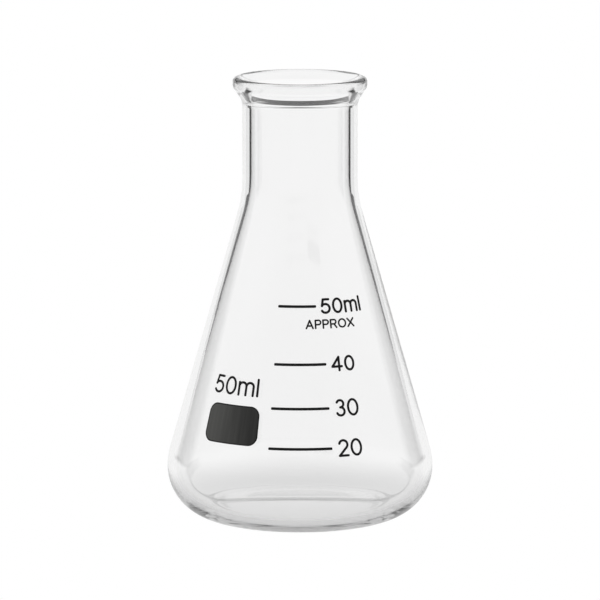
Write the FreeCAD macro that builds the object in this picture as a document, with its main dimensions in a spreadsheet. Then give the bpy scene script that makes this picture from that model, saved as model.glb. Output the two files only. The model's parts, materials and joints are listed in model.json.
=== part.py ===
import FreeCAD, Part
import math
import os
import Sketcher
from FreeCAD import Placement, Rotation, Vector

# A 50 ml narrow-neck conical flask: one vessel of blown borosilicate glass, with its scale,
# numerals and marking panel fired on the outside of the cone in black enamel.
# Millimetres and degrees. +Z is up the flask's axis and z = 0 is the table that it stands on.
# An azimuth is measured about the axis from -Y towards +X, so the scale faces -Y.

DIMENSIONS = (
    ("total_height", 85.0, "table to the crown of the rim"),
    ("body_radius", 25.5, "widest radius, at the heel"),
    ("heel_height", 9.8, "height of the widest point, and radius of the arc below it"),
    ("heel_radius", 13.5, "arc from the widest point to the cone"),
    ("cone_angle", 16.0, "half angle of the cone"),
    ("cone_wall", 1.5, "wall of heel and cone, square to the surface"),
    ("neck_radius", 11.0, "outside of the neck"),
    ("neck_wall", 1.7, "wall of the neck"),
    ("shoulder_radius", 25.0, "hollow arc from the cone to the neck, outside"),
    ("floor_height", 2.1, "lowest ring of the inside floor"),
    ("floor_rise", 0.5, "how far the inside floor swells at the axis"),
    ("kick_radius", 14.2, "hollow under the base, at its edge"),
    ("kick_height", 0.65, "hollow under the base, at the axis"),
    ("bead_projection", 1.83, "rim bead beyond the neck"),
    ("bead_round", 0.9, "outer arc over the crown of the rim"),
    ("bead_belt", 0.5, "straight side of the bead"),
    ("bead_lower_round", 1.6, "arc under the straight side"),
    ("bead_taper", 34.0, "angle from the axis at which the bead runs in under that arc"),
    ("bead_fillet", 3.6, "hollow arc from the taper into the neck"),
    ("mouth_round", 1.95, "inner arc from the crown into the mouth"),
    ("mouth_taper", 17.0, "angle from the axis at which the mouth narrows"),
    ("mouth_flare", 1.7, "arc from that taper into the straight bore"),
    ("enamel", 0.06, "thickness of the fired enamel"),
    ("band_blank", 0.9, "thickness that a line or panel is turned down from"),
    ("line_width", 0.52, "stroke of a graduation line"),
    ("line_start", -14.5, "azimuth where the graduation lines start"),
    ("line_end", 14.8, "azimuth where they end"),
    ("top_line_end", 10.7, "azimuth where the shorter top line ends"),
    ("line_50_height", 43.4, "height of the 50 ml line"),
    ("line_40_height", 32.8, "height of the 40 ml line"),
    ("line_30_height", 24.75, "height of the 30 ml line"),
    ("line_20_height", 17.45, "height of the 20 ml line"),
    ("numeral_gap", 2.7, "azimuth from the end of a line to its numeral"),
    ("numeral_pen", 0.46, "stroke of the numerals"),
    ("letter_gap", 0.3, "clear space between two characters"),
    ("upper_numeral_height", 3.0, "characters of the 50 and 40 marks"),
    ("lower_numeral_height", 3.35, "characters of the 30 and 20 marks"),
    ("note_pen", 0.32, "stroke of the note under the top line"),
    ("note_gap", 0.16, "clear space between two characters of the note"),
    ("note_height", 1.82, "characters of the note"),
    ("note_start", 3.4, "azimuth where the note starts"),
    ("note_centre", 40.13, "height of the note's middle"),
    ("label_height", 3.55, "characters of the capacity"),
    ("label_gap", 0.42, "clear space between two characters of the capacity"),
    ("label_start", -50.0, "azimuth where the capacity starts"),
    ("label_centre", 28.3, "height of the capacity's middle"),
    ("panel_start", -49.8, "azimuth of the marking panel's left side"),
    ("panel_end", -20.1, "azimuth of its right side"),
    ("panel_centre", 21.25, "height of its middle"),
    ("panel_height", 7.5, "panel up the cone's slope"),
    ("panel_corner", 1.9, "corner radius of the panel"),
)
VALUES = {alias: value for alias, value, note in DIMENSIONS}

START = 1
END = 2
CENTRE = 3
ORIGIN_POINT = (-1, 1)
VERTICAL_AXIS = -2

# Characters drawn with one round pen, in a frame where the middle of the stroke runs from
# 0 on the base line to 1 at the top. Each has its width and its strokes: a line has two
# ends; an arc has centre, radius, first and last angle anticlockwise; an oval has centre
# and half axes.
LOWER_CASE = 0.77
ARCH = 0.25
CHARACTERS = {
    "0": (0.68, [("oval", (0.34, 0.50), (0.34, 0.50))]),
    "2": (0.60, [("arc", (0.30, 0.72), 0.28, -42, 165),
                 ("line", (0.508, 0.533), (0.0, 0.0)),
                 ("line", (0.0, 0.0), (0.60, 0.0))]),
    "3": (0.59, [("arc", (0.30, 0.765), 0.235, -90, 155),
                 ("arc", (0.31, 0.265), 0.265, -157, 90)]),
    "4": (0.74, [("line", (0.53, 1.0), (0.53, 0.0)),
                 ("line", (0.53, 1.0), (0.0, 0.29)),
                 ("line", (0.0, 0.29), (0.74, 0.29))]),
    "5": (0.62, [("line", (0.57, 1.0), (0.14, 1.0)),
                 ("line", (0.14, 1.0), (0.05, 0.51)),
                 ("arc", (0.30, 0.325), 0.325, -148, 142)]),
    "m": (4 * ARCH, [("line", (0.0, 0.0), (0.0, LOWER_CASE)),
                     ("arc", (ARCH, LOWER_CASE - ARCH), ARCH, 0, 180),
                     ("line", (2 * ARCH, 0.0), (2 * ARCH, LOWER_CASE - ARCH)),
                     ("arc", (3 * ARCH, LOWER_CASE - ARCH), ARCH, 0, 180),
                     ("line", (4 * ARCH, 0.0), (4 * ARCH, LOWER_CASE - ARCH))]),
    "l": (0.0, [("line", (0.0, 0.0), (0.0, 1.0))]),
    "A": (0.84, [("line", (0.0, 0.0), (0.42, 1.0)),
                 ("line", (0.42, 1.0), (0.84, 0.0)),
                 ("line", (0.13, 0.31), (0.71, 0.31))]),
    "P": (0.67, [("line", (0.0, 0.0), (0.0, 1.0)),
                 ("line", (0.0, 1.0), (0.40, 1.0)),
                 ("arc", (0.40, 0.73), 0.27, -90, 90),
                 ("line", (0.40, 0.46), (0.0, 0.46))]),
    "R": (0.76, [("line", (0.0, 0.0), (0.0, 1.0)),
                 ("line", (0.0, 1.0), (0.44, 1.0)),
                 ("arc", (0.44, 0.73), 0.27, -90, 90),
                 ("line", (0.44, 0.46), (0.0, 0.46)),
                 ("line", (0.44, 0.46), (0.76, 0.0))]),
    "O": (0.96, [("oval", (0.48, 0.50), (0.48, 0.50))]),
    "X": (0.84, [("line", (0.0, 0.0), (0.84, 1.0)),
                 ("line", (0.0, 1.0), (0.84, 0.0))]),
}
TEXTS = {"numerals_50ml": "50ml", "numeral_40": "40", "numeral_30": "30", "numeral_20": "20",
         "approx_mark": "APPROX", "capacity_label_50ml": "50ml"}
PEN_DEPTH = 2.0
WASTE_MARGIN = 1.2


def make_sheet(doc):
    """The dimensions, one row each, with the alias in the second column's cell."""
    sheet = doc.addObject("Spreadsheet::Sheet", "dims")
    for row, (alias, value, note) in enumerate(DIMENSIONS, start=1):
        sheet.set(f"A{row}", alias)
        sheet.set(f"B{row}", str(value))
        sheet.set(f"C{row}", note)
        sheet.setAlias(f"B{row}", alias)
    doc.recompute()
    return sheet


def make_body(doc, label):
    body = doc.addObject("PartDesign::Body", label)
    body.Label = label
    return body


def section_sketch(body, name):
    """A sketch on the body's XZ plane, where x is the radius and y is the height."""
    sketch = body.newObject("Sketcher::SketchObject", name)
    planes = [item for item in body.Origin.OriginFeatures if item.Role == "XZ_Plane"]
    sketch.AttachmentSupport = (planes[0], [""])
    sketch.MapMode = "FlatFace"
    return sketch


def add_line(sketch, first, last):
    return sketch.addGeometry(Part.LineSegment(Vector(*first), Vector(*last)))


def add_arc(sketch, centre, radius, first, last):
    circle = Part.Circle(Vector(*centre), Vector(0, 0, 1), radius)
    arc = Part.ArcOfCircle(circle, math.radians(first), math.radians(last))
    return sketch.addGeometry(arc)


def relate(sketch, kind, *items):
    sketch.addConstraint(Sketcher.Constraint(kind, *items))


def measure(sketch, kind, items, value, name, expression):
    """A named dimension of the sketch, driven by the sheet."""
    index = sketch.addConstraint(Sketcher.Constraint(kind, *items, value))
    sketch.renameConstraint(index, name)
    sketch.setExpression(f"Constraints.{name}", expression)


def turn_about_axis(body, kind, name, sketch, angle=360.0):
    feature = body.newObject(kind, name)
    feature.Profile = sketch
    feature.ReferenceAxis = (sketch, ["V_Axis"])
    feature.Angle = angle
    body.Tip = feature
    return feature


def cone_radius(height, offset=0.0):
    """Radius of the cone's outside, moved out square to its surface by the offset."""
    slope = math.radians(VALUES["cone_angle"])
    centre = VALUES["body_radius"] - VALUES["heel_radius"]
    reach = VALUES["heel_radius"] + offset
    rise = height - VALUES["heel_height"]
    return centre + (reach - rise * math.sin(slope)) / math.cos(slope)


def wall_points(inset, neck):
    """Where heel, cone, shoulder and neck join, for a wall surface inset from the outside."""
    slope = math.radians(VALUES["cone_angle"])
    heel_centre = VALUES["body_radius"] - VALUES["heel_radius"]
    heel_arc = VALUES["heel_radius"] - inset
    shoulder = VALUES["shoulder_radius"] + inset
    heel_end = (heel_centre + heel_arc * math.cos(slope),
                VALUES["heel_height"] + heel_arc * math.sin(slope))
    shoulder_start = neck + shoulder * (1 - math.cos(slope))
    rise = (heel_end[0] - shoulder_start) / math.tan(slope)
    cone_end = (shoulder_start, heel_end[1] + rise)
    shoulder_centre = (neck + shoulder, cone_end[1] + shoulder * math.sin(slope))
    return heel_centre, heel_arc, heel_end, cone_end, shoulder_centre, shoulder


def draw_wall(sketch, lower_arc, inset_term, inset, neck_expression, neck, neck_top):
    """Upper heel arc, cone, shoulder arc and neck line, from the end of the lower arc."""
    slope = VALUES["cone_angle"]
    points = wall_points(inset, neck)
    heel_centre, heel_arc, heel_end, cone_end, shoulder_centre, shoulder = points
    heel = add_arc(sketch, (heel_centre, VALUES["heel_height"]), heel_arc, 0, slope)
    cone = add_line(sketch, heel_end, cone_end)
    shoulder_arc = add_arc(sketch, shoulder_centre, shoulder, 180, 180 + slope)
    neck_line = add_line(sketch, (neck, shoulder_centre[1]), (neck, neck_top))
    relate(sketch, "Tangent", lower_arc, END, heel, START)
    relate(sketch, "Horizontal", lower_arc, CENTRE, heel, CENTRE)
    relate(sketch, "Tangent", heel, END, cone, START)
    relate(sketch, "Tangent", cone, END, shoulder_arc, END)
    relate(sketch, "Tangent", shoulder_arc, START, neck_line, START)
    relate(sketch, "Vertical", neck_line)
    measure(sketch, "DistanceY", (*ORIGIN_POINT, heel, CENTRE), VALUES["heel_height"],
            "heel_height", "dims.heel_height")
    measure(sketch, "DistanceX", (*ORIGIN_POINT, heel, START), heel_centre + heel_arc,
            "body_radius", f"dims.body_radius - {inset_term}")
    measure(sketch, "Radius", (heel,), heel_arc, "heel_radius",
            f"dims.heel_radius - {inset_term}")
    measure(sketch, "Angle", (cone,), math.radians(90 + slope), "cone_slope",
            "90 + dims.cone_angle")
    measure(sketch, "Radius", (shoulder_arc,), shoulder, "shoulder_radius",
            f"dims.shoulder_radius + {inset_term}")
    measure(sketch, "DistanceX", (*ORIGIN_POINT, neck_line, START), neck,
            "neck_radius", neck_expression)
    return neck_line


def close_to_axis(sketch, crown, crown_point, axis_line):
    """The flat top, from the crown back to the axis."""
    top = add_line(sketch, crown_point, (0, VALUES["total_height"]))
    relate(sketch, "Coincident", *crown, top, START)
    relate(sketch, "Coincident", top, END, axis_line, START)
    relate(sketch, "Horizontal", top)
    measure(sketch, "DistanceY", (*ORIGIN_POINT, top, END), VALUES["total_height"],
            "total_height", "dims.total_height")


def draw_outside(sketch):
    """The outside of the flask, closed to the axis: foot, heel, cone, neck and rim bead."""
    top = VALUES["total_height"]
    foot = VALUES["body_radius"] - VALUES["heel_height"]
    neck = VALUES["neck_radius"]
    bead = neck + VALUES["bead_projection"]
    over = VALUES["bead_round"]
    under = VALUES["bead_lower_round"]
    hollow = VALUES["bead_fillet"]
    belt_top = top - over
    belt_bottom = belt_top - VALUES["bead_belt"]
    taper = VALUES["bead_taper"]
    rise, gain = math.sin(math.radians(taper)), 1 - math.cos(math.radians(taper))
    taper_top = (bead - under * gain, belt_bottom - under * rise)
    taper_run = taper_top[0] - neck - hollow * gain
    taper_foot = (neck + hollow * gain, taper_top[1] - taper_run / math.tan(math.radians(taper)))
    hollow_height = taper_foot[1] - hollow * rise

    axis_line = add_line(sketch, (0, top), (0, 0))
    foot_line = add_line(sketch, (0, 0), (foot, 0))
    lower = add_arc(sketch, (foot, VALUES["heel_height"]), VALUES["heel_height"], 270, 360)
    relate(sketch, "Coincident", axis_line, END, *ORIGIN_POINT)
    relate(sketch, "Vertical", axis_line)
    relate(sketch, "Coincident", foot_line, START, axis_line, END)
    relate(sketch, "Horizontal", foot_line)
    relate(sketch, "Tangent", foot_line, END, lower, START)
    neck_line = draw_wall(sketch, lower, "0", 0.0, "dims.neck_radius", neck, hollow_height)
    hollow_arc = add_arc(sketch, (neck + hollow, hollow_height), hollow, 180 - taper, 180)
    taper_line = add_line(sketch, taper_foot, taper_top)
    under_arc = add_arc(sketch, (bead - under, belt_bottom), under, -taper, 0)
    belt = add_line(sketch, (bead, belt_bottom), (bead, belt_top))
    over_arc = add_arc(sketch, (bead - over, belt_top), over, 0, 90)
    relate(sketch, "Tangent", neck_line, END, hollow_arc, END)
    relate(sketch, "Tangent", hollow_arc, START, taper_line, START)
    relate(sketch, "Tangent", taper_line, END, under_arc, START)
    relate(sketch, "Tangent", under_arc, END, belt, START)
    relate(sketch, "Vertical", belt)
    relate(sketch, "Tangent", belt, END, over_arc, START)
    relate(sketch, "Vertical", over_arc, CENTRE, over_arc, END)
    close_to_axis(sketch, (over_arc, END), (bead - over, top), axis_line)
    measure(sketch, "Angle", (taper_line,), math.radians(90 - taper), "bead_taper",
            "90 - dims.bead_taper")
    measure(sketch, "Radius", (hollow_arc,), hollow, "bead_fillet", "dims.bead_fillet")
    measure(sketch, "Radius", (under_arc,), under, "bead_lower_round", "dims.bead_lower_round")
    measure(sketch, "Radius", (over_arc,), over, "bead_round", "dims.bead_round")
    measure(sketch, "DistanceY", (belt, START, belt, END), VALUES["bead_belt"],
            "bead_belt", "dims.bead_belt")
    measure(sketch, "DistanceX", (*ORIGIN_POINT, belt, START), bead,
            "bead_radius", "dims.neck_radius + dims.bead_projection")


def draw_inside(sketch):
    """The inside of the flask, closed to the axis: floor, heel, cone, bore and mouth."""
    top = VALUES["total_height"]
    bore = VALUES["neck_radius"] - VALUES["neck_wall"]
    crown = VALUES["neck_radius"] + VALUES["bead_projection"] - VALUES["bead_round"]
    heel_height = VALUES["heel_height"]
    heel_arc = heel_height - VALUES["floor_height"]
    heel_centre = VALUES["body_radius"] - VALUES["cone_wall"] - heel_arc
    floor_top = VALUES["floor_height"] + VALUES["floor_rise"]
    drop = heel_height - floor_top
    floor_arc = (heel_centre ** 2 + drop ** 2 - heel_arc ** 2) / (2 * VALUES["floor_rise"])
    floor_centre = floor_top - floor_arc
    lean = math.degrees(math.atan2(heel_centre, heel_height - floor_centre))
    flare = VALUES["mouth_flare"]
    lip = VALUES["mouth_round"]
    taper = VALUES["mouth_taper"]
    rise, fall = math.sin(math.radians(taper)), math.cos(math.radians(taper))
    lip_foot = (crown - lip * fall, top - lip * (1 - rise))
    throat = bore + flare * (1 - fall)
    throat_height = lip_foot[1] - (lip_foot[0] - throat) / math.tan(math.radians(taper))
    flare_height = throat_height - flare * rise

    axis_line = add_line(sketch, (0, top), (0, floor_top))
    floor = add_arc(sketch, (0, floor_centre), floor_arc, 90 - lean, 90)
    lower = add_arc(sketch, (heel_centre, heel_height), heel_arc, 270 - lean, 360)
    relate(sketch, "PointOnObject", axis_line, END, VERTICAL_AXIS)
    relate(sketch, "Vertical", axis_line)
    relate(sketch, "Coincident", axis_line, END, floor, END)
    relate(sketch, "PointOnObject", floor, CENTRE, VERTICAL_AXIS)
    relate(sketch, "Tangent", floor, START, lower, START)
    neck_line = draw_wall(sketch, lower, "dims.cone_wall", VALUES["cone_wall"],
                          "dims.neck_radius - dims.neck_wall", bore, flare_height)
    flare_arc = add_arc(sketch, (bore + flare, flare_height), flare, 180 - taper, 180)
    mouth_line = add_line(sketch, (throat, throat_height), lip_foot)
    lip_arc = add_arc(sketch, (crown, top - lip), lip, 90, 180 - taper)
    relate(sketch, "Tangent", neck_line, END, flare_arc, END)
    relate(sketch, "Tangent", flare_arc, START, mouth_line, START)
    relate(sketch, "Tangent", mouth_line, END, lip_arc, END)
    relate(sketch, "Vertical", lip_arc, CENTRE, lip_arc, START)
    close_to_axis(sketch, (lip_arc, START), (crown, top), axis_line)
    measure(sketch, "Radius", (lower,), heel_arc, "inner_heel_radius",
            "dims.heel_height - dims.floor_height")
    measure(sketch, "DistanceY", (*ORIGIN_POINT, axis_line, END), floor_top,
            "floor_top", "dims.floor_height + dims.floor_rise")
    measure(sketch, "Angle", (mouth_line,), math.radians(90 - taper), "mouth_taper",
            "90 - dims.mouth_taper")
    measure(sketch, "Radius", (flare_arc,), flare, "mouth_flare", "dims.mouth_flare")
    measure(sketch, "Radius", (lip_arc,), lip, "mouth_round", "dims.mouth_round")
    measure(sketch, "DistanceX", (*ORIGIN_POINT, lip_arc, START), crown, "crown_radius",
            "dims.neck_radius + dims.bead_projection - dims.bead_round")


def draw_kick(sketch):
    """The shallow hollow under the base, which leaves a ring to stand on."""
    edge = VALUES["kick_radius"]
    rise = VALUES["kick_height"]
    arc = (edge ** 2 + rise ** 2) / (2 * rise)
    spread = math.degrees(math.asin(edge / arc))
    base = add_line(sketch, (0, 0), (edge, 0))
    dome = add_arc(sketch, (0, rise - arc), arc, 90 - spread, 90)
    axis_line = add_line(sketch, (0, rise), (0, 0))
    relate(sketch, "Coincident", base, START, *ORIGIN_POINT)
    relate(sketch, "Horizontal", base)
    relate(sketch, "Coincident", base, END, dome, START)
    relate(sketch, "PointOnObject", dome, CENTRE, VERTICAL_AXIS)
    relate(sketch, "Coincident", dome, END, axis_line, START)
    relate(sketch, "Coincident", axis_line, END, base, START)
    relate(sketch, "Vertical", axis_line)
    measure(sketch, "DistanceX", (base, START, base, END), edge,
            "kick_radius", "dims.kick_radius")
    measure(sketch, "DistanceY", (axis_line, END, axis_line, START), rise,
            "kick_height", "dims.kick_height")


def glass_vessel(doc):
    """The blown vessel: a turned outside, with the inside and the kick turned out of it."""
    body = make_body(doc, "glass_vessel")
    outside = section_sketch(body, "outside")
    draw_outside(outside)
    turn_about_axis(body, "PartDesign::Revolution", "outside_form", outside)
    doc.recompute()
    inside = section_sketch(body, "inside")
    draw_inside(inside)
    turn_about_axis(body, "PartDesign::Groove", "cavity", inside)
    doc.recompute()
    kick = section_sketch(body, "kick")
    draw_kick(kick)
    turn_about_axis(body, "PartDesign::Groove", "kick_hollow", kick)
    return body


def draw_slab(sketch, level, height, tall, offset, thickness):
    """A slab's section along the cone's slope; each size is a value and its expression."""
    slope = math.radians(VALUES["cone_angle"])
    up = Vector(-math.sin(slope), math.cos(slope), 0)
    out = Vector(math.cos(slope), math.sin(slope), 0)
    middle = Vector(cone_radius(VALUES[level]), VALUES[level], 0) + out * offset[0]
    half = height[0] * tall / 2
    corners = [middle - up * half, middle - up * half + out * thickness[0],
               middle + up * half + out * thickness[0], middle + up * half]
    sides = [add_line(sketch, corners[i], corners[(i + 1) % 4]) for i in range(4)]
    for i in range(4):
        relate(sketch, "Coincident", sides[i], END, sides[(i + 1) % 4], START)
    inner = sides[3]
    relate(sketch, "Parallel", inner, sides[1])
    relate(sketch, "Perpendicular", inner, sides[0])
    mid_point = sketch.addGeometry(Part.Point(middle))
    sketch.setConstruction(mid_point, True)
    relate(sketch, "Symmetric", inner, START, inner, END, mid_point, START)
    relate(sketch, "Perpendicular", inner, sides[2])
    measure(sketch, "Angle", (inner,), math.atan2(-up.y, -up.x), "slope",
            "-90 + dims.cone_angle")
    measure(sketch, "DistanceY", (*ORIGIN_POINT, mid_point, START), middle.y, "centre_height",
            f"dims.{level} + {offset[1]} * sin(dims.cone_angle * 1deg)")
    reach = f"dims.heel_radius - (dims.{level} - dims.heel_height) * sin(dims.cone_angle * 1deg)"
    measure(sketch, "DistanceX", (*ORIGIN_POINT, mid_point, START), middle.x, "centre_radius",
            f"dims.body_radius - dims.heel_radius + ({reach}) / cos(dims.cone_angle * 1deg)"
            f" + {offset[1]} * cos(dims.cone_angle * 1deg)")
    measure(sketch, "Distance", (inner, START, inner, END), 2 * half,
            "slab_height", f"{height[1]} * {tall}")
    measure(sketch, "Distance", (sides[0], START, sides[0], END), thickness[0],
            "thickness", thickness[1])


def enamel_band(doc, label, level, height, start, end, corner):
    """A band of enamel that follows the cone between two azimuths, with rounded corners.

    It is turned as a thick blank on the cone, its short edges are rounded, and the blank is
    then turned down to the enamel's thickness.
    """
    body = make_body(doc, label)
    tall = (VALUES[height], f"dims.{height}")
    enamel = (VALUES["enamel"], "dims.enamel")
    blank = (VALUES["band_blank"], "dims.band_blank")
    section = section_sketch(body, label + "_section")
    draw_slab(section, level, tall, 1, (0.0, "0"), blank)
    band = turn_about_axis(body, "PartDesign::Revolution", label + "_blank", section,
                           VALUES[end] - VALUES[start])
    band.setExpression("Angle", f"dims.{end} - dims.{start}")
    doc.recompute()
    round_corners(body, band, corner)
    doc.recompute()
    waste = section_sketch(body, label + "_waste")
    draw_slab(waste, level, tall, WASTE_MARGIN, enamel, blank)
    turn_about_axis(body, "PartDesign::Groove", label + "_turned", waste)
    body.Placement = Placement(Vector(), Rotation(Vector(0, 0, 1), VALUES[start] - 90))
    return body


def round_corners(body, band, radius_expression):
    """Rounds the four short edges, which are as long as the blank is thick."""
    blank = VALUES["band_blank"]
    short = [f"Edge{i}" for i, edge in enumerate(band.Shape.Edges, start=1)
             if math.isclose(edge.Length, blank, rel_tol=0.01)]
    fillet = body.newObject("PartDesign::Fillet", band.Name + "_corners")
    fillet.Base = (band, short)
    fillet.setExpression("Radius", radius_expression)
    body.Tip = fillet


def pen_dot(point, pen):
    return Part.makeCylinder(pen / 2, PEN_DEPTH, Vector(point[0], point[1], -PEN_DEPTH / 2))


def pen_line(first, last, pen):
    """A straight stroke with round ends, standing across the plane z = 0."""
    run = Vector(last[0] - first[0], last[1] - first[1], 0)
    bar = Part.makeBox(run.Length, pen, PEN_DEPTH, Vector(0, -pen / 2, -PEN_DEPTH / 2))
    turn = Rotation(Vector(1, 0, 0), run)
    bar.Placement = Placement(Vector(first[0], first[1], 0), turn).multiply(bar.Placement)
    return [bar, pen_dot(first, pen), pen_dot(last, pen)]


def pen_arc(centre, radius, first, last, pen):
    """A stroke along an arc, anticlockwise from the first angle to the last."""
    low = Vector(centre[0], centre[1], -PEN_DEPTH / 2)
    axis = Vector(0, 0, 1)
    outer = Part.makeCylinder(radius + pen / 2, PEN_DEPTH, low, axis, last - first)
    inner = Part.makeCylinder(radius - pen / 2, PEN_DEPTH, low, axis, 360)
    ring = outer.cut(inner)
    ring.rotate(low, axis, first)
    ends = [(centre[0] + radius * math.cos(math.radians(a)),
             centre[1] + radius * math.sin(math.radians(a))) for a in (first, last)]
    return [ring, pen_dot(ends[0], pen), pen_dot(ends[1], pen)]


def pen_oval(centre, half_axes, pen):
    """A closed stroke along an upright oval."""
    faces = []
    for grow in (pen / 2, -pen / 2):
        tall = half_axes[1] + grow
        wide = half_axes[0] + grow
        middle = Vector(centre[0], centre[1], -PEN_DEPTH / 2)
        if math.isclose(tall, wide):
            curve = Part.Circle(middle, Vector(0, 0, 1), tall)
        else:
            curve = Part.Ellipse(middle + Vector(0, tall, 0), middle + Vector(-wide, 0, 0), middle)
        faces.append(Part.Face(Part.Wire(curve.toShape())))
    depth = Vector(0, 0, PEN_DEPTH)
    return [faces[0].extrude(depth).cut(faces[1].extrude(depth))]


def character_strokes(character, size, pen):
    """The strokes of one character, with its left edge and base line on the axes."""
    width, strokes = CHARACTERS[character]
    solids = []
    for kind, first, *rest in strokes:
        start = (first[0] * size + pen / 2, first[1] * size + pen / 2)
        if kind == "line":
            end = (rest[0][0] * size + pen / 2, rest[0][1] * size + pen / 2)
            solids += pen_line(start, end, pen)
        elif kind == "arc":
            solids += pen_arc(start, rest[0] * size, rest[1], rest[2], pen)
        else:
            solids += pen_oval(start, (rest[0][0] * size, rest[0][1] * size), pen)
    return width * size + pen, solids


def cone_skin(low, high):
    """The thin layer of enamel all round the cone, between two heights."""
    outer = Part.makeCone(cone_radius(low, VALUES["enamel"]),
                          cone_radius(high, VALUES["enamel"]), high - low, Vector(0, 0, low))
    inner = Part.makeCone(cone_radius(low), cone_radius(high), high - low, Vector(0, 0, low))
    return outer.cut(inner)


def seat_on_cone(azimuth, height):
    """The frame that stands on the cone: x along the print, y up the slope, z outwards."""
    upright = Rotation(Vector(1, 0, 0), 90 - VALUES["cone_angle"])
    facing = Rotation(Vector(0, 0, 1), azimuth)
    place = facing.multVec(Vector(0, -cone_radius(height), height))
    return Placement(place, facing.multiply(upright))


def enamel_text(doc, label, start, centre, height, pen, gap):
    """A line of characters, each seated on the cone at its own azimuth."""
    size = height - pen
    skin = cone_skin(centre - height, centre + height)
    radius = cone_radius(centre)
    azimuth = start
    pieces = []
    for character in TEXTS[label]:
        width, strokes = character_strokes(character, size, pen)
        half_turn = math.degrees(width / 2 / radius)
        seat = seat_on_cone(azimuth + half_turn, centre)
        outline = strokes[0].multiFuse(strokes[1:]) if len(strokes) > 1 else strokes[0]
        outline = outline.removeSplitter()
        outline.translate(Vector(-width / 2, -height / 2, 0))
        outline.Placement = seat.multiply(outline.Placement)
        pieces.append(outline.common(skin))
        azimuth += 2 * half_turn + math.degrees(gap / radius)
    feature = doc.addObject("Part::Feature", label)
    feature.Label = label
    feature.Shape = Part.makeCompound([solid for piece in pieces for solid in piece.Solids])
    return feature


def scale_lines(doc):
    """The four graduation lines; the top one is shorter, to leave room for its numeral."""
    lines = []
    for mark in (50, 40, 30, 20):
        end = "top_line_end" if mark == 50 else "line_end"
        lines.append(enamel_band(doc, f"graduation_line_{mark}", f"line_{mark}_height",
                                 "line_width", "line_start", end, "dims.line_width * 0.4"))
    return lines


def scale_numerals(doc):
    """Each numeral sits level with its line, a fixed step past the line's end."""
    rows = (("numerals_50ml", "top_line_end", "line_50_height", "upper_numeral_height"),
            ("numeral_40", "line_end", "line_40_height", "upper_numeral_height"),
            ("numeral_30", "line_end", "line_30_height", "lower_numeral_height"),
            ("numeral_20", "line_end", "line_20_height", "lower_numeral_height"))
    return [enamel_text(doc, label, VALUES[end] + VALUES["numeral_gap"], VALUES[level],
                        VALUES[height], VALUES["numeral_pen"], VALUES["letter_gap"])
            for label, end, level, height in rows]


def other_marks(doc):
    """The note under the top line, the capacity and the panel to write on."""
    note = enamel_text(doc, "approx_mark", VALUES["note_start"], VALUES["note_centre"],
                       VALUES["note_height"], VALUES["note_pen"], VALUES["note_gap"])
    capacity = enamel_text(doc, "capacity_label_50ml", VALUES["label_start"],
                           VALUES["label_centre"], VALUES["label_height"],
                           VALUES["numeral_pen"], VALUES["label_gap"])
    panel = enamel_band(doc, "marking_panel", "panel_centre", "panel_height",
                        "panel_start", "panel_end", "dims.panel_corner")
    return [note, capacity, panel]


def check_document(doc):
    for item in doc.Objects:
        if "Invalid" in item.State or "Error" in item.State:
            raise RuntimeError(f"{item.Name} failed: {item.State}")
        if item.isDerivedFrom("Sketcher::SketchObject") and not item.FullyConstrained:
            raise RuntimeError(f"{item.Name} isn't fully constrained")


def check_piece(piece):
    """A vessel, line or panel is one solid; a text has one for each of its characters."""
    shape = piece.Shape
    solids = len(TEXTS[piece.Label]) if piece.Label in TEXTS else 1
    if shape.isNull() or not shape.isValid():
        raise RuntimeError(f"{piece.Label} has no valid shape")
    if len(shape.Solids) != solids:
        raise RuntimeError(f"{piece.Label} has {len(shape.Solids)} solids, not {solids}")


def main():
    os.makedirs("parts", exist_ok=True)
    doc = FreeCAD.newDocument("conical_flask")
    make_sheet(doc)
    pieces = [glass_vessel(doc)]
    pieces += scale_lines(doc)
    pieces += scale_numerals(doc)
    pieces += other_marks(doc)
    doc.recompute()
    check_document(doc)
    for piece in pieces:
        check_piece(piece)
        piece.Shape.exportStep(f"parts/{piece.Label}.step")
        box = piece.Shape.BoundBox
        print(f"{piece.Label}: {len(piece.Shape.Solids)} solids, {piece.Shape.Volume:.3f} mm3,"
              f" z {box.ZMin:.2f} to {box.ZMax:.2f}, x {box.XMin:.2f} to {box.XMax:.2f}")


main()
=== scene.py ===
# %% [markdown]
# A 50 ml conical flask. The vessel is one blown piece of borosilicate glass; everything black
# on it is enamel, printed on the cold glass and fired until it fuses. The model that arrives
# with the frame has the true sizes, so this lesson rebuilds the glass as a smooth shell for
# refraction, gives the print its enamel, and sets the pair in a bright studio.

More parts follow.
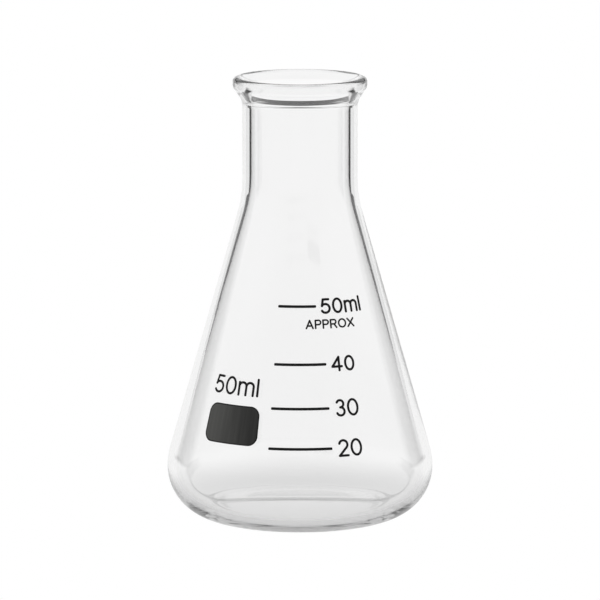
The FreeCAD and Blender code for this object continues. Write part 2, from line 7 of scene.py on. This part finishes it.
# %% Load the frame
import json
import math
import bpy
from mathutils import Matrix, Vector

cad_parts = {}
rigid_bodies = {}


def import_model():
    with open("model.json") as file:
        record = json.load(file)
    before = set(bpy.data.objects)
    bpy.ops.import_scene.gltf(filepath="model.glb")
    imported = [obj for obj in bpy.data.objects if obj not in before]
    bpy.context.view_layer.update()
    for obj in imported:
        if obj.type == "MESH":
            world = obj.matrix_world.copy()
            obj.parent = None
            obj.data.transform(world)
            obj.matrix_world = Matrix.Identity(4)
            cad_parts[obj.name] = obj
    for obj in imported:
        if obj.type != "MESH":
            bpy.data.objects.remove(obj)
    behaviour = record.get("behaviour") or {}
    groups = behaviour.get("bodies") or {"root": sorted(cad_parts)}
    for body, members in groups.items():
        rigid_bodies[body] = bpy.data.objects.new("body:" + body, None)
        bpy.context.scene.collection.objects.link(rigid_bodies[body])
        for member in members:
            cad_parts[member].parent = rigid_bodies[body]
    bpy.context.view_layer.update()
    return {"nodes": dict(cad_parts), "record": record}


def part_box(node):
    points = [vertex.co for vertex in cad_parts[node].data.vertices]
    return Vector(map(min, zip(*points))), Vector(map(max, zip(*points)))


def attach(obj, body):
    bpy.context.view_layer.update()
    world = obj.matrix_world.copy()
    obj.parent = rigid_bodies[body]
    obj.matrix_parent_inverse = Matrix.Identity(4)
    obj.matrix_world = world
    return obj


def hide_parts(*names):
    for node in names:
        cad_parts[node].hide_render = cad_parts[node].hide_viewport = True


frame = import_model()

# %% [markdown]
# Sizes are thought of in millimetres, as on a drawing, and Blender works in metres. The
# overall sizes and the bore come from the frame; the rest are the glassblower's: wall,
# radii of the bends, thickness of the floor.

# %% Sizes
MM = 0.001
MOUNTS = {mount["name"]: mount for mount in frame["record"]["mounts"]}
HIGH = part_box("glass_vessel")[1]
TOTAL_HEIGHT = HIGH[2] / MM
BODY_RADIUS = HIGH[0] / MM
BORE_RADIUS = MOUNTS["neck_bore"]["dims"]["r_mm"]
NECK_RADIUS = MOUNTS["neck_grip"]["dims"]["r_mm"]
HEEL_HEIGHT = 9.8
HEEL_RADIUS = 13.5
CONE_ANGLE = math.radians(16.0)
CONE_WALL = 1.5
SHOULDER_RADIUS = 25.0
FLOOR_HEIGHT = 2.1
FLOOR_RISE = 0.5
KICK_RADIUS = 14.2
KICK_HEIGHT = 0.65
BEAD_PROJECTION = 1.83
BEAD_ROUND = 0.9
BEAD_BELT = 0.5
BEAD_LOWER_ROUND = 1.6
BEAD_TAPER = math.radians(34)
BEAD_FILLET = 3.6
MOUTH_ROUND = 1.95
MOUTH_TAPER = math.radians(17)
MOUTH_FLARE = 1.7
print(f"height {TOTAL_HEIGHT:.1f} mm, body {2 * BODY_RADIUS:.1f} mm, bore {2 * BORE_RADIUS:.1f} mm")

# %% [markdown]
# An operator works on everything that is selected, and loading the frame leaves its nodes selected, so
# each piece starts by clearing the selection. A finished piece rides on the flask's one body and
# stands for a node of the frame.

# %% Helpers for pieces
def deselect():
    for item in bpy.context.view_layer.objects:
        item.select_set(False)


def shade_smooth(piece):
    deselect()
    piece.select_set(True)
    bpy.context.view_layer.objects.active = piece
    bpy.ops.object.shade_smooth()


def finish_piece(piece, frame_node):
    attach(piece, "root")
    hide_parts(frame_node)
    triangles = sum(len(face.vertices) - 2 for face in piece.data.polygons)
    print(f"{piece.name}: {len(piece.data.vertices)} points, {triangles} triangles")


# %% [markdown]
# Colours are written as sRGB hex, as a colour picker gives them, and turned to the linear
# values that a shader works with. One helper adds a node with its settings and its links.

# %% Helpers for materials
def colour(code):
    parts = [int(code[i:i + 2], 16) / 255 for i in (1, 3, 5)]
    linear = [p / 12.92 if p <= 0.04045 else ((p + 0.055) / 1.055) ** 2.4 for p in parts]
    return (*linear, 1.0)


def node(tree, kind, settings=None, **inputs):
    """Adds a node; settings are its attributes, and an input is a value or another's output."""
    made = tree.nodes.new(kind)
    for name, value in (settings or {}).items():
        setattr(made, name, value)
    for name, value in inputs.items():
        key = int(name[2:]) if name.startswith("in") and name[2:].isdigit() else name.replace("_", " ")
        socket = made.inputs[key]
        if isinstance(value, bpy.types.NodeSocket):
            tree.links.new(value, socket)
        else:
            socket.default_value = value
    return made


def new_material(name):
    material = bpy.data.materials.new(name)
    material.use_nodes = True
    material.node_tree.nodes.clear()
    return material, material.node_tree


def surface(tree, shader):
    output = node(tree, "ShaderNodeOutputMaterial")
    tree.links.new(shader.outputs[0], output.inputs["Surface"])


def ramp(tree, value, low, high, first=0.0, last=1.0):
    """A soft step of a value from one level to another."""
    return node(tree, "ShaderNodeMapRange", {"interpolation_type": "SMOOTHSTEP"}, Value=value,
                From_Min=low, From_Max=high, To_Min=first, To_Max=last).outputs[0]


def reckon(tree, operation, first, second):
    return node(tree, "ShaderNodeMath", {"operation": operation}, in0=first, in1=second).outputs[0]


# %% [markdown]
# The camera stands a metre off and looks down on the rim by nine or ten degrees, with a long
# lens, so that perspective hardly widens what is near.

# %% Camera
CAMERA_DISTANCE = 1.0
CAMERA_HEIGHT = 0.2103
CAMERA_PITCH = math.radians(9.558)
CAMERA_LENS = 317.5
CAMERA_SENSOR = 36.0

lens = bpy.data.cameras.new("studio_camera")
lens.lens = CAMERA_LENS
lens.sensor_width = CAMERA_SENSOR
camera = bpy.data.objects.new("studio_camera", lens)
camera.location = (0.0, -CAMERA_DISTANCE, CAMERA_HEIGHT)
camera.rotation_euler = (math.radians(90) - CAMERA_PITCH, 0.0, 0.0)
bpy.context.scene.collection.objects.link(camera)
bpy.context.scene.camera = camera
print("camera pitch", round(math.degrees(CAMERA_PITCH), 2), "degrees down")

# %% [markdown]
# The outline of the wall is drawn once, in the XZ plane, as a single chain: a point is
# extruded for each straight and spun about its centre for each bend. The chain then makes
# one full turn about the flask's axis. That is how glassware is made true, in a lathe. The
# first point is a small square merged to its middle.

# %% Draw with a point
BEND_STEP = math.radians(3.5)
FEWEST_STEPS = 4
SEED_SIZE = 1.0 * MM
WELD = 0.002 * MM


def start_point(name, radius, height):
    deselect()
    bpy.ops.mesh.primitive_plane_add(size=SEED_SIZE, location=(radius * MM, 0, height * MM))
    piece = bpy.context.object
    piece.name = name
    piece.data.name = name
    bpy.ops.object.transform_apply(location=True, rotation=False, scale=False)
    bpy.ops.object.mode_set(mode="EDIT")
    bpy.ops.mesh.select_all(action="SELECT")
    bpy.ops.mesh.merge(type="CENTER")
    return piece


def run(radius, height, previous):
    """A straight from the last point to (radius, height)."""
    step = ((radius - previous[0]) * MM, 0, (height - previous[1]) * MM)
    bpy.ops.mesh.extrude_vertices_move(TRANSFORM_OT_translate={"value": step})
    return radius, height


def bend(centre, sweep, previous):
    """An arc about the centre; a positive sweep turns from the radius towards the height."""
    steps = max(FEWEST_STEPS, math.ceil(abs(sweep) / BEND_STEP))
    bpy.ops.mesh.spin(steps=steps, angle=sweep, center=(centre[0] * MM, 0, centre[1] * MM),
                      axis=(0, 1, 0))
    arm = (previous[0] - centre[0], previous[1] - centre[1])
    cos, sin = math.cos(sweep), math.sin(sweep)
    return centre[0] + arm[0] * cos - arm[1] * sin, centre[1] + arm[0] * sin + arm[1] * cos


def turn_on_lathe(piece, steps):
    bpy.ops.mesh.select_all(action="SELECT")
    bpy.ops.mesh.spin(steps=steps, angle=2 * math.pi, center=(0, 0, 0), axis=(0, 0, 1))
    bpy.ops.mesh.select_all(action="SELECT")
    bpy.ops.mesh.remove_doubles(threshold=WELD)
    bpy.ops.mesh.normals_make_consistent(inside=False)
    bpy.ops.object.mode_set(mode="OBJECT")
    shade_smooth(piece)


# %% [markdown]
# The wall is one closed outline. It starts on the axis under the kick, crosses the flat ring
# that the flask stands on, goes round the heel, up the cone and the neck to the rim, and
# comes back down the inside to the axis on the floor. Bends run into their neighbours without
# a corner, as flame-worked glass does; only the shallow kick meets the ring at a slight one.
# Modelling two skins this way, rather than thickening one, lets the floor and the heel be
# thicker than the cone.

# %% The vessel's wall
def side_points(inset, neck):
    """Where heel, cone and shoulder meet, on the outside or inset by the wall."""
    heel_arc = HEEL_RADIUS - inset
    heel_centre = (BODY_RADIUS - HEEL_RADIUS, HEEL_HEIGHT)
    shoulder = SHOULDER_RADIUS + inset
    heel_end = heel_centre[0] + heel_arc * math.cos(CONE_ANGLE)
    shoulder_foot = neck + shoulder * (1 - math.cos(CONE_ANGLE))
    rise = (heel_end - shoulder_foot) / math.tan(CONE_ANGLE)
    cone_top = HEEL_HEIGHT + heel_arc * math.sin(CONE_ANGLE) + rise
    shoulder_centre = (neck + shoulder, cone_top + shoulder * math.sin(CONE_ANGLE))
    return heel_centre, (shoulder_foot, cone_top), shoulder_centre


def draw_underside():
    """From the axis under the kick, over the foot ring, to the widest point of the heel."""
    arc = (KICK_RADIUS ** 2 + KICK_HEIGHT ** 2) / (2 * KICK_HEIGHT)
    foot = BODY_RADIUS - HEEL_HEIGHT
    at = (0.0, KICK_HEIGHT)
    at = bend((0.0, KICK_HEIGHT - arc), -math.asin(KICK_RADIUS / arc), at)
    at = run(foot, 0.0, at)
    return bend((foot, HEEL_HEIGHT), math.pi / 2, at)


def draw_outside(at):
    """Up the outside, from the heel to the crown of the rim."""
    heel_centre, cone_top, shoulder_centre = side_points(0.0, NECK_RADIUS)
    bead = NECK_RADIUS + BEAD_PROJECTION
    belt_top = TOTAL_HEIGHT - BEAD_ROUND
    belt_bottom = belt_top - BEAD_BELT
    sine, gain = math.sin(BEAD_TAPER), 1 - math.cos(BEAD_TAPER)
    taper_foot = (NECK_RADIUS + BEAD_FILLET * gain, 0.0)
    taper_top = (bead - BEAD_LOWER_ROUND * gain, belt_bottom - BEAD_LOWER_ROUND * sine)
    taper_drop = (taper_top[0] - taper_foot[0]) / math.tan(BEAD_TAPER)
    hollow_height = taper_top[1] - taper_drop - BEAD_FILLET * sine
    at = bend(heel_centre, CONE_ANGLE, at)
    at = run(*cone_top, at)
    at = bend(shoulder_centre, -CONE_ANGLE, at)
    at = run(NECK_RADIUS, hollow_height, at)
    at = bend((NECK_RADIUS + BEAD_FILLET, hollow_height), -BEAD_TAPER, at)
    at = run(*taper_top, at)
    at = bend((bead - BEAD_LOWER_ROUND, belt_bottom), BEAD_TAPER, at)
    at = run(bead, belt_top, at)
    return bend((bead - BEAD_ROUND, belt_top), math.pi / 2, at)


def draw_inside(at):
    """Over the crown and down the inside, to the axis on the floor."""
    heel_centre, cone_top, shoulder_centre = side_points(CONE_WALL, BORE_RADIUS)
    crown = NECK_RADIUS + BEAD_PROJECTION - BEAD_ROUND
    cosine, sine = math.cos(MOUTH_TAPER), math.sin(MOUTH_TAPER)
    lip = (crown - MOUTH_ROUND * cosine, TOTAL_HEIGHT - MOUTH_ROUND * (1 - sine))
    throat = BORE_RADIUS + MOUTH_FLARE * (1 - cosine)
    throat_height = lip[1] - (lip[0] - throat) / math.tan(MOUTH_TAPER)
    flare_height = throat_height - MOUTH_FLARE * sine
    heel_arc = HEEL_HEIGHT - FLOOR_HEIGHT
    heel_axis = BODY_RADIUS - CONE_WALL - heel_arc
    floor_top = FLOOR_HEIGHT + FLOOR_RISE
    fall = HEEL_HEIGHT - floor_top
    floor_arc = (heel_axis ** 2 + fall ** 2 - heel_arc ** 2) / (2 * FLOOR_RISE)
    floor_centre = floor_top - floor_arc
    floor_lean = math.atan2(heel_axis, HEEL_HEIGHT - floor_centre)
    at = bend((crown, TOTAL_HEIGHT - MOUTH_ROUND), math.pi / 2 - MOUTH_TAPER, at)
    at = run(throat, throat_height, at)
    at = bend((BORE_RADIUS + MOUTH_FLARE, flare_height), MOUTH_TAPER, at)
    at = run(BORE_RADIUS, shoulder_centre[1], at)
    at = bend(shoulder_centre, CONE_ANGLE, at)
    cone_foot = (heel_centre[0] + (HEEL_RADIUS - CONE_WALL) * math.cos(CONE_ANGLE),
                 HEEL_HEIGHT + (HEEL_RADIUS - CONE_WALL) * math.sin(CONE_ANGLE))
    at = run(*cone_foot, at)
    at = bend(heel_centre, -CONE_ANGLE, at)
    at = bend((heel_axis, HEEL_HEIGHT), -math.pi / 2 - floor_lean, at)
    return bend((0.0, floor_centre), floor_lean, at)


LATHE_STEPS = 240
vessel = start_point("blown_vessel", 0.0, KICK_HEIGHT)
heel = draw_underside()
crown_point = draw_outside(heel)
floor_point = draw_inside(crown_point)
print("crown", [round(v, 3) for v in crown_point], "floor", [round(v, 3) for v in floor_point])
turn_on_lathe(vessel, LATHE_STEPS)

# %% [markdown]
# Borosilicate 3.3 is the low-expansion glass of laboratories: clear, with an index of 1.473,
# and hardly tinted even where one looks through a lot of it. The surface is fire-polished, so
# it has no roughness. The volume takes away light of all colours alike, much more per metre
# than the real glass does: that greys the thick heel and floor and leaves the walls clear.

# %% Borosilicate glass
GLASS_INDEX = 1.473
ABSORPTION = 14.0
glass, tree = new_material("borosilicate_glass")
clear = node(tree, "ShaderNodeBsdfPrincipled", Base_Color=colour("#FFFFFF"), Roughness=0.0,
             IOR=GLASS_INDEX, Transmission_Weight=1.0)
surface(tree, clear)
depth = node(tree, "ShaderNodeVolumeAbsorption", Color=colour("#000000"), Density=ABSORPTION)
tree.links.new(depth.outputs[0], tree.nodes["Material Output"].inputs["Volume"])
vessel.data.materials.append(glass)
finish_piece(vessel, "glass_vessel")

# %% [markdown]
# The print is a ceramic enamel: black pigment in a low-melting glass frit. It is pushed
# through a screen on to the cold cone and fired until it fuses, so it is dense and deep
# black, with a skin less glossy than the glass around it.

# %% Black enamel
ENAMEL_ROUGHNESS = 0.42
ENAMEL_GLOSS = 0.16
enamel, tree = new_material("fired_black_enamel")
coat = node(tree, "ShaderNodeBsdfPrincipled", Base_Color=colour("#060606"),
            Roughness=ENAMEL_ROUGHNESS, Specular_IOR_Level=ENAMEL_GLOSS)
surface(tree, coat)
for name in frame["nodes"]:
    item = bpy.data.objects[name]
    if name not in ("glass_vessel", "marking_panel"):
        item.data.materials.clear()
        item.data.materials.append(enamel)
        print("black enamel on", name)

# %% [markdown]
# The panel to write on is printed with a matt enamel that takes a pencil. It is thinner in the middle
# of the squeegee's pull than at the stencil's edge, so it is a dark grey with a black border a hair
# wide, and the pull leaves faint upright streaks. On top of that the grey carries painted light: it is
# lighter on the left side and darker on the right, standing for how the light falls across the panel.
# The border is measured in millimetres, along the cone's slope and round it at the panel's middle
# height: a point's distance past the rectangle that the corners' centres span tells how near it is to
# the edge.

# %% Marking panel
PANEL_CORNER = 1.9
BORDER_START = 0.34
BORDER_FULL = 0.17
STREAK_STRETCH = 0.06
STREAKS_PER_MM = 1.1
STREAK_DETAIL = 3.0
STREAK_ROUGHNESS = 0.55
STREAK_STRENGTH = 0.55
MATT_ROUGHNESS = 0.5
MATT_GLOSS = 0.22
# Painted light: how far towards the lighter grey the panel's left and right sides go, and where
# towards the right edge the painted falloff ends.
LEFT_PAINTED_LIGHT = 0.82
RIGHT_PAINTED_LIGHT = 0.10
PAINTED_LIGHT_END = 0.9
panel = bpy.data.objects["marking_panel"]
corners = [vertex.co / MM for vertex in panel.data.vertices]
turns = [math.atan2(corner.x, -corner.y) for corner in corners]
heights = [corner.z for corner in corners]
reaches = [math.hypot(corner.x, corner.y) for corner in corners]
middle_turn = (min(turns) + max(turns)) / 2
middle_height = (min(heights) + max(heights)) / 2
middle_reach = (min(reaches) + max(reaches)) / 2
half_wide = (max(turns) - min(turns)) / 2 * middle_reach
half_tall = (max(heights) - min(heights)) / 2 / math.cos(CONE_ANGLE)
print(f"panel {2 * half_wide:.1f} by {2 * half_tall:.1f} mm")

matt, tree = new_material("matt_grey_marking_enamel")
place = node(tree, "ShaderNodeTexCoord").outputs["Object"]
axes = node(tree, "ShaderNodeSeparateXYZ", Vector=place)
inward = reckon(tree, "MULTIPLY", axes.outputs["Y"], -1.0)
turn = reckon(tree, "ARCTAN2", axes.outputs["X"], inward)
across = reckon(tree, "MULTIPLY", reckon(tree, "SUBTRACT", turn, middle_turn), middle_reach)
level = reckon(tree, "DIVIDE", reckon(tree, "SUBTRACT", axes.outputs["Z"], middle_height * MM),
               MM * math.cos(CONE_ANGLE))
wide = reckon(tree, "SUBTRACT", reckon(tree, "ABSOLUTE", across, 0.0), half_wide - PANEL_CORNER)
tall = reckon(tree, "SUBTRACT", reckon(tree, "ABSOLUTE", level, 0.0), half_tall - PANEL_CORNER)
corner = node(tree, "ShaderNodeCombineXYZ", X=reckon(tree, "MAXIMUM", wide, 0.0),
              Y=reckon(tree, "MAXIMUM", tall, 0.0))
past = node(tree, "ShaderNodeVectorMath", {"operation": "LENGTH"}, in0=corner.outputs[0])
border = ramp(tree, past.outputs["Value"], PANEL_CORNER - BORDER_START, PANEL_CORNER - BORDER_FULL)
pull = node(tree, "ShaderNodeCombineXYZ", X=across, Y=reckon(tree, "MULTIPLY", level, STREAK_STRETCH))
streaks = node(tree, "ShaderNodeTexNoise", Vector=pull.outputs[0], Scale=STREAKS_PER_MM,
               Detail=STREAK_DETAIL, Roughness=STREAK_ROUGHNESS).outputs[0]
# Painted light: the grey runs from lighter on the left to darker on the right, standing for how the
# light falls across the panel; the random streaks wander on top of it, between the most lit and the
# most shaded grey.
painted_side_light = ramp(tree, across, -half_wide, half_wide * PAINTED_LIGHT_END, LEFT_PAINTED_LIGHT, RIGHT_PAINTED_LIGHT)
wander = reckon(tree, "MULTIPLY", reckon(tree, "SUBTRACT", streaks, 0.5), STREAK_STRENGTH)
streaks_and_painted_light = reckon(tree, "ADD", painted_side_light, wander)
grey = node(tree, "ShaderNodeMix", {"data_type": "RGBA"}, Factor=streaks_and_painted_light)
grey.inputs["A"].default_value = colour("#191918")
grey.inputs["B"].default_value = colour("#4E4E4C")
ink = node(tree, "ShaderNodeMix", {"data_type": "RGBA"}, Factor=border)
tree.links.new(grey.outputs["Result"], ink.inputs["A"])
ink.inputs["B"].default_value = colour("#080808")
coat = node(tree, "ShaderNodeBsdfPrincipled", Roughness=MATT_ROUGHNESS,
            Specular_IOR_Level=MATT_GLOSS)
tree.links.new(ink.outputs["Result"], coat.inputs["Base Color"])
surface(tree, coat)
panel.data.materials.clear()
panel.data.materials.append(matt)

# %% [markdown]
# The flask stands on a lit white table that runs out of sight behind it. Clear glass shows only what
# it bends into view, so black felt lies to both sides behind it: the glass turns the felt into the
# dark lines inside the neck and the cone. Felt and table are one material here, and a wedge of it on
# each side is black, with soft edges. Close under the flask the table carries a painted shadow: its
# glow is turned down there, standing for the shade the flask casts. The camera itself sees the table
# plain white. The stage is sized in metres.

# %% Table
TABLE_RADIUS = 4.0
TABLE_SIDES = 128
TABLE_DROP = 0.02 * MM
TABLE_WHITE = 0.95
# The painted shadow under the flask: how bright the table stays there, and the reach over which it
# fades into the white.
PAINTED_SHADOW_UNDER_FLASK = 0.70
PAINTED_SHADOW_INNER = 0.020
PAINTED_SHADOW_OUTER = 0.060
FELT_NEAR = math.radians(43)
FELT_FAR = math.radians(67)
FELT_START = 0.17
FELT_FULL = 0.26
NEAR_SOFTNESS = 0.06
FAR_SOFTNESS = 0.05


def felt_cover(tree, axes, first):
    """How black it is, on both sides, from the first angle to the far one, and the angle."""
    side = reckon(tree, "ABSOLUTE", axes.outputs["X"], 0.0)
    turn = reckon(tree, "ARCTAN2", side, axes.outputs["Y"])
    near = ramp(tree, turn, first - NEAR_SOFTNESS, first + NEAR_SOFTNESS)
    far = ramp(tree, turn, FELT_FAR - FAR_SOFTNESS, FELT_FAR + FAR_SOFTNESS, 1.0, 0.0)
    return reckon(tree, "MULTIPLY", near, far), turn


def stage_disc(name, radius, height, material):
    deselect()
    bpy.ops.mesh.primitive_circle_add(vertices=TABLE_SIDES, radius=radius, fill_type="NGON",
                                      location=(0, 0, height))
    disc = bpy.context.object
    disc.name = name
    disc.data.materials.append(material)


acrylic, tree = new_material("white_lit_acrylic_with_felt")
place = node(tree, "ShaderNodeTexCoord").outputs["Object"]
axes = node(tree, "ShaderNodeSeparateXYZ", Vector=place)
reach = node(tree, "ShaderNodeVectorMath", {"operation": "LENGTH"}, in0=place).outputs["Value"]
# Painted shadow: close under the flask the table glows less, standing for the shade the flask casts on
# it.
glow_with_painted_shadow = ramp(tree, reach, PAINTED_SHADOW_INNER, PAINTED_SHADOW_OUTER, PAINTED_SHADOW_UNDER_FLASK, TABLE_WHITE)
beyond = ramp(tree, reach, FELT_START, FELT_FULL)
cover = reckon(tree, "MULTIPLY", felt_cover(tree, axes, FELT_NEAR)[0], beyond)
bare = reckon(tree, "SUBTRACT", 1.0, cover)
seen = node(tree, "ShaderNodeLightPath").outputs["Is Camera Ray"]
level = reckon(tree, "MAXIMUM", reckon(tree, "MULTIPLY", glow_with_painted_shadow, bare), seen)
surface(tree, node(tree, "ShaderNodeEmission", Color=colour("#FFFFFF"), Strength=level))
stage_disc("studio_table", TABLE_RADIUS, -TABLE_DROP, acrylic)
print("table", TABLE_RADIUS, "m, felt from", round(math.degrees(FELT_NEAR)), "to",
      round(math.degrees(FELT_FAR)), "degrees")

# %% [markdown]
# The room is white to the camera. What the glass bends into view is not: boards stand to
# both sides behind the flask, and a dark rail runs across the back at about thirteen degrees
# up. The boards carry the felt's dark lines up the cone and the shoulder, and the rail draws
# the dark rings where the bead runs in under the rim. Each pair of values is where a soft edge
# starts and ends; the heights are sines of the elevation. Light bounces many times inside the
# heel before it gets out, so the paths are allowed to be long, or the heel would go black.

# %% World
FRONT_LIGHT = 0.82
RAIL_DARK = 0.96
RAIL_END = (math.radians(60), math.radians(75))
RAIL_BOTTOM = (0.175, 0.205)
RAIL_TOP = (0.236, 0.25)
BOARD_NEAR = math.radians(34)
BOARD_DARK = 0.88
BOARD_TOP = (0.16, 0.24)
FRONT_FADE = (-0.9, -0.3)
BOUNCES = 48
world = bpy.data.worlds.new("studio")
bpy.context.scene.world = world
world.use_nodes = True
tree = world.node_tree
tree.nodes.clear()
direction = node(tree, "ShaderNodeTexCoord").outputs["Generated"]
axes = node(tree, "ShaderNodeSeparateXYZ", Vector=direction)
wedge, turn = felt_cover(tree, axes, BOARD_NEAR)
rise = axes.outputs["Z"]
low = reckon(tree, "MULTIPLY", wedge, ramp(tree, rise, *BOARD_TOP, BOARD_DARK, 0.0))
behind = ramp(tree, turn, *RAIL_END, RAIL_DARK, 0.0)
above = ramp(tree, rise, *RAIL_BOTTOM)
below = ramp(tree, rise, *RAIL_TOP, 1.0, 0.0)
rail = reckon(tree, "MULTIPLY", reckon(tree, "MULTIPLY", above, below), behind)
bare = reckon(tree, "SUBTRACT", 1.0, reckon(tree, "MAXIMUM", low, rail))
around = ramp(tree, axes.outputs["Y"], *FRONT_FADE, FRONT_LIGHT, 1.0)
seen = node(tree, "ShaderNodeLightPath").outputs["Is Camera Ray"]
level = reckon(tree, "MAXIMUM", reckon(tree, "MULTIPLY", around, bare), seen)
light = node(tree, "ShaderNodeBackground", Color=colour("#FFFFFF"), Strength=level)
output = node(tree, "ShaderNodeOutputWorld")
tree.links.new(light.outputs[0], output.inputs["Surface"])
bpy.context.scene.view_settings.view_transform = "Standard"
bpy.context.scene.cycles.max_bounces = BOUNCES
bpy.context.scene.cycles.transmission_bounces = BOUNCES
bpy.context.scene.cycles.glossy_bounces = BOUNCES
print("light may bounce", BOUNCES, "times")
